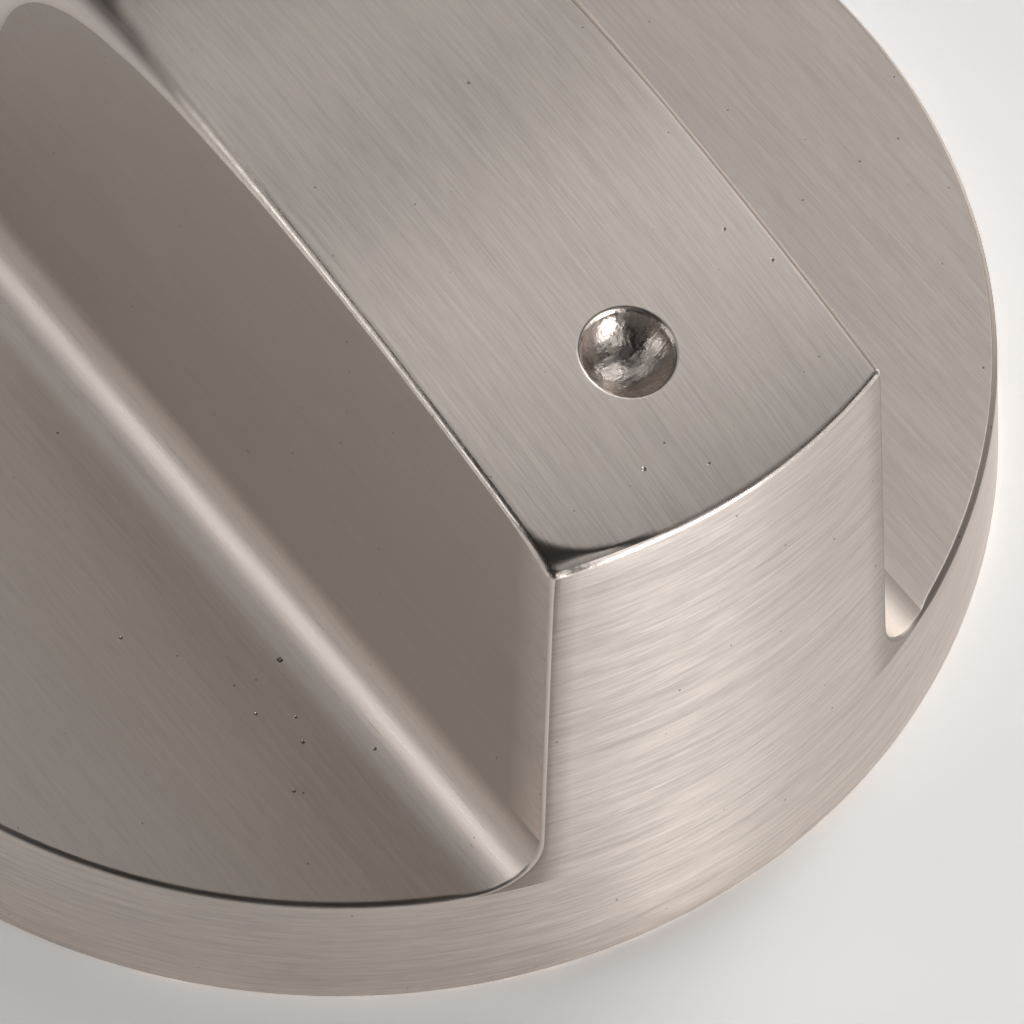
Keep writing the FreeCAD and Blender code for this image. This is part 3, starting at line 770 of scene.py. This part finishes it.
def combine(base, operation, tool):
    """Join a tool to the base or cut it away, then drop the tool."""
    modifier = base.modifiers.new(operation.lower(), "BOOLEAN")
    modifier.operation = operation
    modifier.solver = "EXACT"
    modifier.object = tool
    depsgraph = bpy.context.evaluated_depsgraph_get()
    data = bpy.data.meshes.new_from_object(base.evaluated_get(depsgraph), depsgraph=depsgraph)
    base.modifiers.clear()
    base.data = data
    bpy.data.objects.remove(tool)


def hollow_underside(casting):
    """Cavity round the boss with its ribs, the boss's bore and keyway, and the two cores in the bar."""
    hollow = lathe("hollow", [
        (CAVITY_RADIUS + BELOW * CAVITY_DRAFT, -BELOW),
        (CAVITY_RADIUS - CAVITY_DEPTH * CAVITY_DRAFT, CAVITY_DEPTH),
        (BOSS_RADIUS + CAVITY_DEPTH * CAVITY_DRAFT, CAVITY_DEPTH),
        (BOSS_RADIUS - BELOW * CAVITY_DRAFT, -BELOW),
    ])
    for turn in RIB_TURNS:
        lean = math.radians(turn)
        along = Vector((math.cos(lean), math.sin(lean)))
        across = Vector((-math.sin(lean), math.cos(lean)))
        corners = [along * a * RIB_REACH + across * b * RIB_HALF
                   for a, b in ((-1, -1), (1, -1), (1, 1), (-1, 1))]
        combine(hollow, "DIFFERENCE", prism("rib", corners, RIB_FOOT, RIB_TOP))
    keyway = [(-KEYWAY_HALF, KEYWAY_FAR), (KEYWAY_HALF, KEYWAY_FAR),
              (KEYWAY_HALF, KEYWAY_NEAR), (-KEYWAY_HALF, KEYWAY_NEAR)]
    front = rounded(FRONT_CORE, FRONT_CORE_ROUNDING, (2, 3))
    combine(hollow, "UNION", prism("seat", circle(SEAT_RADIUS), -BELOW, SEAT_DEPTH))
    combine(hollow, "UNION", prism("bore", circle(BORE_RADIUS), -BELOW, BORE_DEPTH))
    combine(hollow, "UNION", prism("keyway", keyway, -BELOW, KEYWAY_DEPTH))
    combine(hollow, "UNION", prism("front_core", front, -CORE_HALF, CORE_HALF, axis="X"))
    combine(hollow, "UNION", prism("rear_core", REAR_CORE, -CORE_HALF, CORE_HALF, axis="X"))
    combine(casting, "DIFFERENCE", hollow)


casting = finished(build_skin(), "casting")
hollow_underside(casting)
casting.data.set_sharp_from_angle(angle=math.radians(40))
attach(casting, "root")
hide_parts("knob_body")


class Nodes:
    """A material's node tree, built by short calls that hand on output sockets."""

    def __init__(self, name):
        self.material = bpy.data.materials.new(name)
        self.material.use_nodes = True
        self.tree = self.material.node_tree
        self.shader = self.tree.nodes["Principled BSDF"]

    def feed(self, socket, value):
        if isinstance(value, bpy.types.NodeSocket):
            self.tree.links.new(value, socket)
        else:
            socket.default_value = value

    def add(self, kind, inputs, output=0, **settings):
        node = self.tree.nodes.new(kind)
        for key, value in settings.items():
            setattr(node, key, value)
        for slot, value in inputs.items():
            self.feed(node.inputs[slot], value)
        return node.outputs[output]

    def surface(self, **inputs):
        """Set the shader's sockets; an underscore in a name stands for a space."""
        for slot, value in inputs.items():
            self.feed(self.shader.inputs[slot.replace("_", " ")], value)

    def math(self, operation, a, b=0.0):
        return self.add("ShaderNodeMath", {0: a, 1: b}, operation=operation)

    def total(self, *parts):
        """Sum of (share, value) pairs, each value taken from its middle of a half."""
        result = None
        for share, value in parts:
            term = self.math("MULTIPLY", self.math("SUBTRACT", value, 0.5), share)
            result = term if result is None else self.math("ADD", result, term)
        return result

    def vector(self, x, y, z):
        return self.add("ShaderNodeCombineXYZ", {0: x, 1: y, 2: z})

    def parts(self, kind, value):
        """The outputs of a node that takes a vector or a colour apart."""
        node = self.tree.nodes.new(kind)
        self.feed(node.inputs[0], value)
        return node.outputs

    def place(self):
        """Where a point is in the object's own space, in metres."""
        return self.tree.nodes.new("ShaderNodeTexCoord").outputs["Object"]

    def noise(self, vector, detail=2.0, roughness=0.55):
        return self.add("ShaderNodeTexNoise", {"Vector": vector, "Scale": 1.0, "Detail": detail,
                                               "Roughness": roughness})

    def span(self, value, low, high, to_low=0.0, to_high=1.0):
        return self.add("ShaderNodeMapRange", {0: value, 1: low, 2: high, 3: to_low, 4: to_high})

    def mix(self, share, a, b):
        return self.add("ShaderNodeMix", {0: share, 6: a, 7: b}, output=2, data_type="RGBA")

    def streaks(self, grain, along, across, seed, detail=2.0):
        """Noise drawn out along the brush lines; along and across are its changes per millimetre."""
        stretched = self.vector(self.math("MULTIPLY", grain[0], along),
                                self.math("MULTIPLY", grain[1], across), seed)
        return self.noise(stretched, detail)

    def bump(self, height, depth):
        return self.add("ShaderNodeBump", {"Strength": 1.0, "Distance": depth, "Height": height})


def grain_of(nodes):
    """The brush coordinates, in millimetres along and across the lines."""
    uv = nodes.tree.nodes.new("ShaderNodeUVMap")
    uv.uv_map = "grain"
    split = nodes.parts("ShaderNodeSeparateXYZ", uv.outputs[0])
    return split[0], split[1]


# Base colour, and the brown of the painted shade, before they are shaded lighter or darker
NICKEL = (0.70, 0.623, 0.567)
# Brown that the painted shade darkens walls, edges and lips towards
PAINTED_SHADE_BROWN = (0.70, 0.58, 0.49)

# Where the bar's root lies in the brush coordinates: its start, middle and end
ROOT_BAND = (40.3, 41.5, 42.9)


def shade(color, level):
    """A base colour made lighter or darker."""
    return tuple(min(1.0, part * level) for part in color) + (1.0,)


# Small casting pits seen on the bar's top and the left floor: (x, y, radius)
PITS = (
    (-1.73, -16.48, 0.07), (-0.08, -17.3, 0.05), (5.15, -13.3, 0.06), (4.58, -11.8, 0.06),
    (-7.99, -8.21, 0.09), (-9.08, -10.85, 0.06), (-7.57, -12.31, 0.05), (-9.63, -9.29, 0.05),
    (-8.75, -10.05, 0.05), (-10.27, -12.04, 0.06), (-11.3, -4.91, 0.05),
)


def pits(nodes, grain, named):
    """1 in the middle of a pit: the named ones where they are wanted, and tiny ones strewn along the grain."""
    split = nodes.parts("ShaderNodeSeparateXYZ", nodes.place())
    flat = nodes.vector(split[0], split[1], 0.0)
    found = 0.0
    for x, y, radius in PITS if named else ():
        away = nodes.add("ShaderNodeVectorMath", {0: flat, 1: (x * MM, y * MM, 0.0)}, output=1,
                         operation="DISTANCE")
        found = nodes.math("MAXIMUM", found, nodes.span(away, radius * MM, radius * 0.4 * MM))
    cells = nodes.tree.nodes.new("ShaderNodeTexVoronoi")
    cells.voronoi_dimensions = "2D"
    nodes.feed(cells.inputs["Vector"], nodes.vector(grain[0], grain[1], 0.0))
    nodes.feed(cells.inputs["Scale"], 0.5)
    # Half of the cells have a pit, of a size that differs from cell to cell
    chosen = nodes.parts("ShaderNodeSeparateColor", cells.outputs["Color"])[0]
    size = nodes.span(chosen, 0.5, 1.0, 0.0, 0.024)
    tiny = nodes.math("LESS_THAN", cells.outputs["Distance"], size)
    return nodes.math("MAXIMUM", found, tiny)


def brushed_nickel(name, contrast, roughness, named_pits=False):
    """Satin nickel with brush strokes along the grain, smoother in the bar's root, with a painted highlight and
    painted shade where the zones ask for them.
    """
    nodes = Nodes(name)
    grain = grain_of(nodes)
    fine = nodes.streaks(grain, 0.9, 17.0, 0.3)
    middle = nodes.streaks(grain, 0.35, 7.0, 3.7)
    broad = nodes.streaks(grain, 0.08, 1.7, 8.1)
    cloud = nodes.noise(nodes.vector(nodes.math("MULTIPLY", grain[0], 0.2),
                                     nodes.math("MULTIPLY", grain[1], 0.2), 5.5), 1.0)
    run = nodes.math("ABSOLUTE", grain[1])
    start, middle_run, end = ROOT_BAND
    root = nodes.math("MULTIPLY", nodes.span(run, start, middle_run), nodes.span(run, end, middle_run))
    zone = nodes.tree.nodes.new("ShaderNodeAttribute")
    zone.attribute_name = "zone"
    zone_channels = nodes.parts("ShaderNodeSeparateColor", zone.outputs["Color"])
    crumb = nodes.streaks(grain, 3.2, 5.0, 9.4, 1.0)
    # Painted highlight from the zone's green, broken into crumbs, and painted shade from its blue
    painted_highlight = nodes.math("MULTIPLY", zone_channels[1], nodes.span(crumb, 0.38, 0.6, 0.5, 1.0))
    painted_shade = zone_channels[2]
    pit = pits(nodes, grain, named_pits)
    tone = nodes.total((1.0, fine), (1.0, middle), (0.5, broad), (0.3, cloud))
    share = nodes.math("ADD", nodes.math("MULTIPLY", tone, contrast), 0.5)
    share = nodes.math("ADD", share, nodes.math("MULTIPLY", root, 0.3))
    color = nodes.mix(share, shade(NICKEL, 0.8), shade(NICKEL, 1.2))
    # Painted highlight: lighter nickel; painted shade: a dark brown
    color = nodes.mix(painted_highlight, color, shade(NICKEL, 1.35))
    color = nodes.mix(painted_shade, color, shade(PAINTED_SHADE_BROWN, 0.35))
    color = nodes.mix(nodes.math("MULTIPLY", pit, 0.6), color, shade(NICKEL, 0.15))
    rough = nodes.math("ADD", nodes.total((0.10, middle), (0.08, fine)), roughness)
    rough = nodes.math("ADD", rough, nodes.math("MULTIPLY", painted_shade, 0.25))
    rough = nodes.math("SUBTRACT", rough, nodes.math("MULTIPLY", painted_highlight, 0.1))
    rough = nodes.math("SUBTRACT", rough, nodes.math("MULTIPLY", root, 0.04))
    tangent = nodes.add("ShaderNodeTangent", {}, direction_type="UV_MAP", uv_map="grain")
    height = nodes.math("MULTIPLY", nodes.math("ADD", fine, middle), contrast * 0.1)
    height = nodes.math("ADD", height, nodes.math("MULTIPLY", painted_highlight, 0.07))
    height = nodes.math("SUBTRACT", height, pit)
    nodes.surface(Base_Color=color, Metallic=1.0, Roughness=rough, Anisotropic=0.85,
                  Anisotropic_Rotation=0.25, Tangent=tangent, Normal=nodes.bump(height, 4e-5))
    return nodes.material


def polished_nickel():
    """The dimple, smoother than the brushed faces round it, with a few scratches."""
    nodes = Nodes("polished_nickel")
    grain = grain_of(nodes)
    spot = nodes.noise(nodes.vector(nodes.math("MULTIPLY", grain[0], 5.0),
                                    nodes.math("MULTIPLY", grain[1], 5.0), 1.5), 5.0)
    scratch = nodes.streaks(grain, 5.0, 1.2, 2.5, 3.0)
    height = nodes.math("ADD", nodes.math("MULTIPLY", spot, 0.6), nodes.math("MULTIPLY", scratch, 0.5))
    nodes.surface(Base_Color=nodes.mix(spot, shade(NICKEL, 0.95), shade(NICKEL, 1.3)), Metallic=1.0,
                  Roughness=nodes.span(spot, 0.3, 0.7, 0.20, 0.38), Normal=nodes.bump(height, 5e-5))
    return nodes.material


def object_noise(nodes, scale, detail):
    """Noise in the object's own space; scale is in changes per metre on each axis."""
    stretched = nodes.add("ShaderNodeVectorMath", {0: nodes.place(), 1: scale}, operation="MULTIPLY")
    return nodes.noise(stretched, detail)


def cast_zinc():
    """Unbrushed underside of the casting."""
    nodes = Nodes("cast_zinc")
    cloud = object_noise(nodes, (900.0, 900.0, 900.0), 5.0)
    color = nodes.mix(cloud, (0.42, 0.41, 0.40, 1.0), (0.56, 0.55, 0.53, 1.0))
    nodes.surface(Base_Color=color, Metallic=1.0, Roughness=nodes.span(cloud, 0.3, 0.7, 0.42, 0.58),
                  Normal=nodes.bump(cloud, 2e-5))
    return nodes.material


def moulded_nylon():
    """Black nylon of the shaft insert."""
    nodes = Nodes("moulded_nylon")
    grain = object_noise(nodes, (2500.0, 2500.0, 2500.0), 3.0)
    nodes.surface(Base_Color=nodes.mix(grain, (0.018, 0.018, 0.02, 1.0), (0.035, 0.035, 0.037, 1.0)),
                  Roughness=nodes.span(grain, 0.3, 0.7, 0.42, 0.58), Normal=nodes.bump(grain, 1e-5))
    return nodes.material


def spring_steel():
    """Rolled strip of the leaf spring, its roll marks along the strip's length."""
    nodes = Nodes("spring_steel")
    rolled = object_noise(nodes, (9000.0, 9000.0, 500.0), 2.0)
    nodes.surface(Base_Color=nodes.mix(rolled, (0.42, 0.43, 0.45, 1.0), (0.62, 0.63, 0.65, 1.0)), Metallic=1.0,
                  Roughness=nodes.span(rolled, 0.3, 0.7, 0.26, 0.4), Normal=nodes.bump(rolled, 4e-6))
    return nodes.material


def dress_node(name, material):
    """Give a CAD node that stays in view its material."""
    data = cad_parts[name].data
    data.materials.clear()
    data.materials.append(material)


dress_node("shaft_hub", moulded_nylon())
dress_node("leaf_spring", spring_steel())

FLAT_SLOT, WALL_SLOT, DIMPLE_SLOT, CAST_SLOT = range(4)


def slot_of(zone):
    """Material slot for a face, from its zone colour."""
    if zone[3] < 0.5:
        return CAST_SLOT
    if zone[0] < 0.5:
        return FLAT_SLOT
    return DIMPLE_SLOT if zone[1] > 0.5 else WALL_SLOT


def dress_casting():
    """The casting's four finishes, each face taking its own from its zone."""
    data = casting.data
    data.materials.clear()
    data.materials.append(brushed_nickel("brushed_nickel", 0.5, 0.33, named_pits=True))
    data.materials.append(brushed_nickel("brushed_nickel_wall", 1.15, 0.33))
    data.materials.append(polished_nickel())
    data.materials.append(cast_zinc())
    zones = data.attributes["zone"].data
    for polygon in data.polygons:
        polygon.material_index = slot_of(zones[polygon.loop_start].color)


dress_casting()


# The photograph's viewpoint as fitted: its angles in degrees, its place in rim radii and its focal length
# in pixels of the 1024 pixel wide frame
CAMERA_AZIMUTH, CAMERA_ELEVATION, CAMERA_ROLL = -39.39, 57.56, 3.23
CAMERA_AWAY, CAMERA_ACROSS, CAMERA_DOWN = 16.3949, 0.2691, 0.1373
CAMERA_FOCAL = 10935.8
FRAME_WIDTH = 1024
SENSOR_WIDTH = 36.0


def add_camera():
    """The photograph's viewpoint."""
    azimuth, elevation, roll = (math.radians(angle) for angle in
                                (CAMERA_AZIMUTH, CAMERA_ELEVATION, CAMERA_ROLL))
    back = Vector((math.sin(azimuth) * math.cos(elevation), -math.cos(azimuth) * math.cos(elevation),
                   math.sin(elevation)))
    right = Vector((math.cos(azimuth), math.sin(azimuth), 0.0))
    up = back.cross(right)
    across = right * math.cos(roll) + up * math.sin(roll)
    upright = -right * math.sin(roll) + up * math.cos(roll)
    camera = bpy.data.objects.new("camera", bpy.data.cameras.new("camera"))
    bpy.context.scene.collection.objects.link(camera)
    place = (back * CAMERA_AWAY + across * CAMERA_ACROSS - upright * CAMERA_DOWN) * (RIM_RADIUS * MM)
    turned = Matrix((across, upright, back)).transposed().to_4x4()
    camera.matrix_world = Matrix.Translation(place) @ turned
    camera.data.sensor_width = SENSOR_WIDTH
    camera.data.lens = CAMERA_FOCAL / FRAME_WIDTH * SENSOR_WIDTH
    camera.data.clip_start = 0.01
    bpy.context.scene.camera = camera


add_camera()

# Floor, in millimetres until it is an object, and a hair under the rim
ground = bmesh.new()
bmesh.ops.create_grid(ground, x_segments=1, y_segments=1, size=600.0)
floor = new_object("floor", ground)
floor.location.z = -0.00002

# How much paler the paper is seen than it lights the knob
PAPER_LIFT = 0.8


def pale_paper():
    """Matt paper; camera, glossy and transmission rays see it paler than it lights the knob."""
    nodes = Nodes("pale_paper")
    nodes.surface(Base_Color=(0.9, 0.9, 0.9, 1.0), Roughness=0.9)
    path = nodes.tree.nodes.new("ShaderNodeLightPath").outputs
    seen = nodes.math("MAXIMUM", path["Is Camera Ray"], path["Is Glossy Ray"])
    seen = nodes.math("MAXIMUM", seen, path["Is Transmission Ray"])
    lift = nodes.math("MULTIPLY", seen, PAPER_LIFT)
    paler = nodes.add("ShaderNodeBsdfDiffuse", {"Color": nodes.vector(lift, lift, lift)})
    both = nodes.add("ShaderNodeAddShader", {0: nodes.shader.outputs[0], 1: paler})
    nodes.tree.links.new(both, nodes.tree.nodes["Material Output"].inputs["Surface"])
    return nodes.material


floor.data.materials.append(pale_paper())

# Soft panels: (azimuth, elevation, size, strength), all as far from the knob
LAMP_DISTANCE = 0.5
LAMPS = (
    (100.0, 20.0, 0.22, 3.0),
    (110.0, 14.0, 0.24, 3.4),
    (11.0, 8.0, 0.20, 8.8),
    (36.0, 20.0, 0.18, 1.0),
    (8.0, 44.0, 0.17, 1.3),
    (-110.0, 28.0, 0.22, 1.35),
    (-120.0, 60.0, 0.08, 1.2),
    (-140.0, 52.0, 0.30, 0.20),
    (178.0, 54.0, 0.24, 0.5),
    (110.0, 48.0, 0.40, 0.35),
    (103.0, 50.0, 0.14, 1.9),
)


def add_lamp(name, azimuth, elevation, size, strength):
    """A soft square panel facing the knob; azimuth runs from -Y towards +X, strength is what a mirror shows."""
    turn, rise = math.radians(azimuth), math.radians(elevation)
    towards = Vector((math.sin(turn) * math.cos(rise), -math.cos(turn) * math.cos(rise), math.sin(rise)))
    lamp = bpy.data.lights.new(name, "AREA")
    lamp.shape = "SQUARE"
    lamp.size = size
    lamp.energy = strength * math.pi * size ** 2
    item = bpy.data.objects.new(name, lamp)
    bpy.context.scene.collection.objects.link(item)
    item.location = towards * LAMP_DISTANCE
    item.rotation_euler = towards.to_track_quat("Z", "Y").to_euler()


# Even light all round: (height where it starts to fall, where it ends, strength below, strength above)
SKY = (0.15, 0.5, 0.08, 0.015)

for number, lamp in enumerate(LAMPS):
    add_lamp(f"panel_{number}", *lamp)

world = bpy.data.worlds.new("world")
bpy.context.scene.world = world
world.use_nodes = True
sky = world.node_tree
background = sky.nodes["Background"].inputs
height = sky.nodes.new("ShaderNodeSeparateXYZ")
sky.links.new(sky.nodes.new("ShaderNodeTexCoord").outputs["Generated"], height.inputs[0])
fall = sky.nodes.new("ShaderNodeMapRange")
sky.links.new(height.outputs[2], fall.inputs[0])
for slot, value in zip(range(1, 5), SKY):
    fall.inputs[slot].default_value = value
background["Color"].default_value = (1.0, 1.0, 1.0, 1.0)
sky.links.new(fall.outputs[0], background["Strength"])

bpy.context.scene.view_settings.view_transform = "Standard"
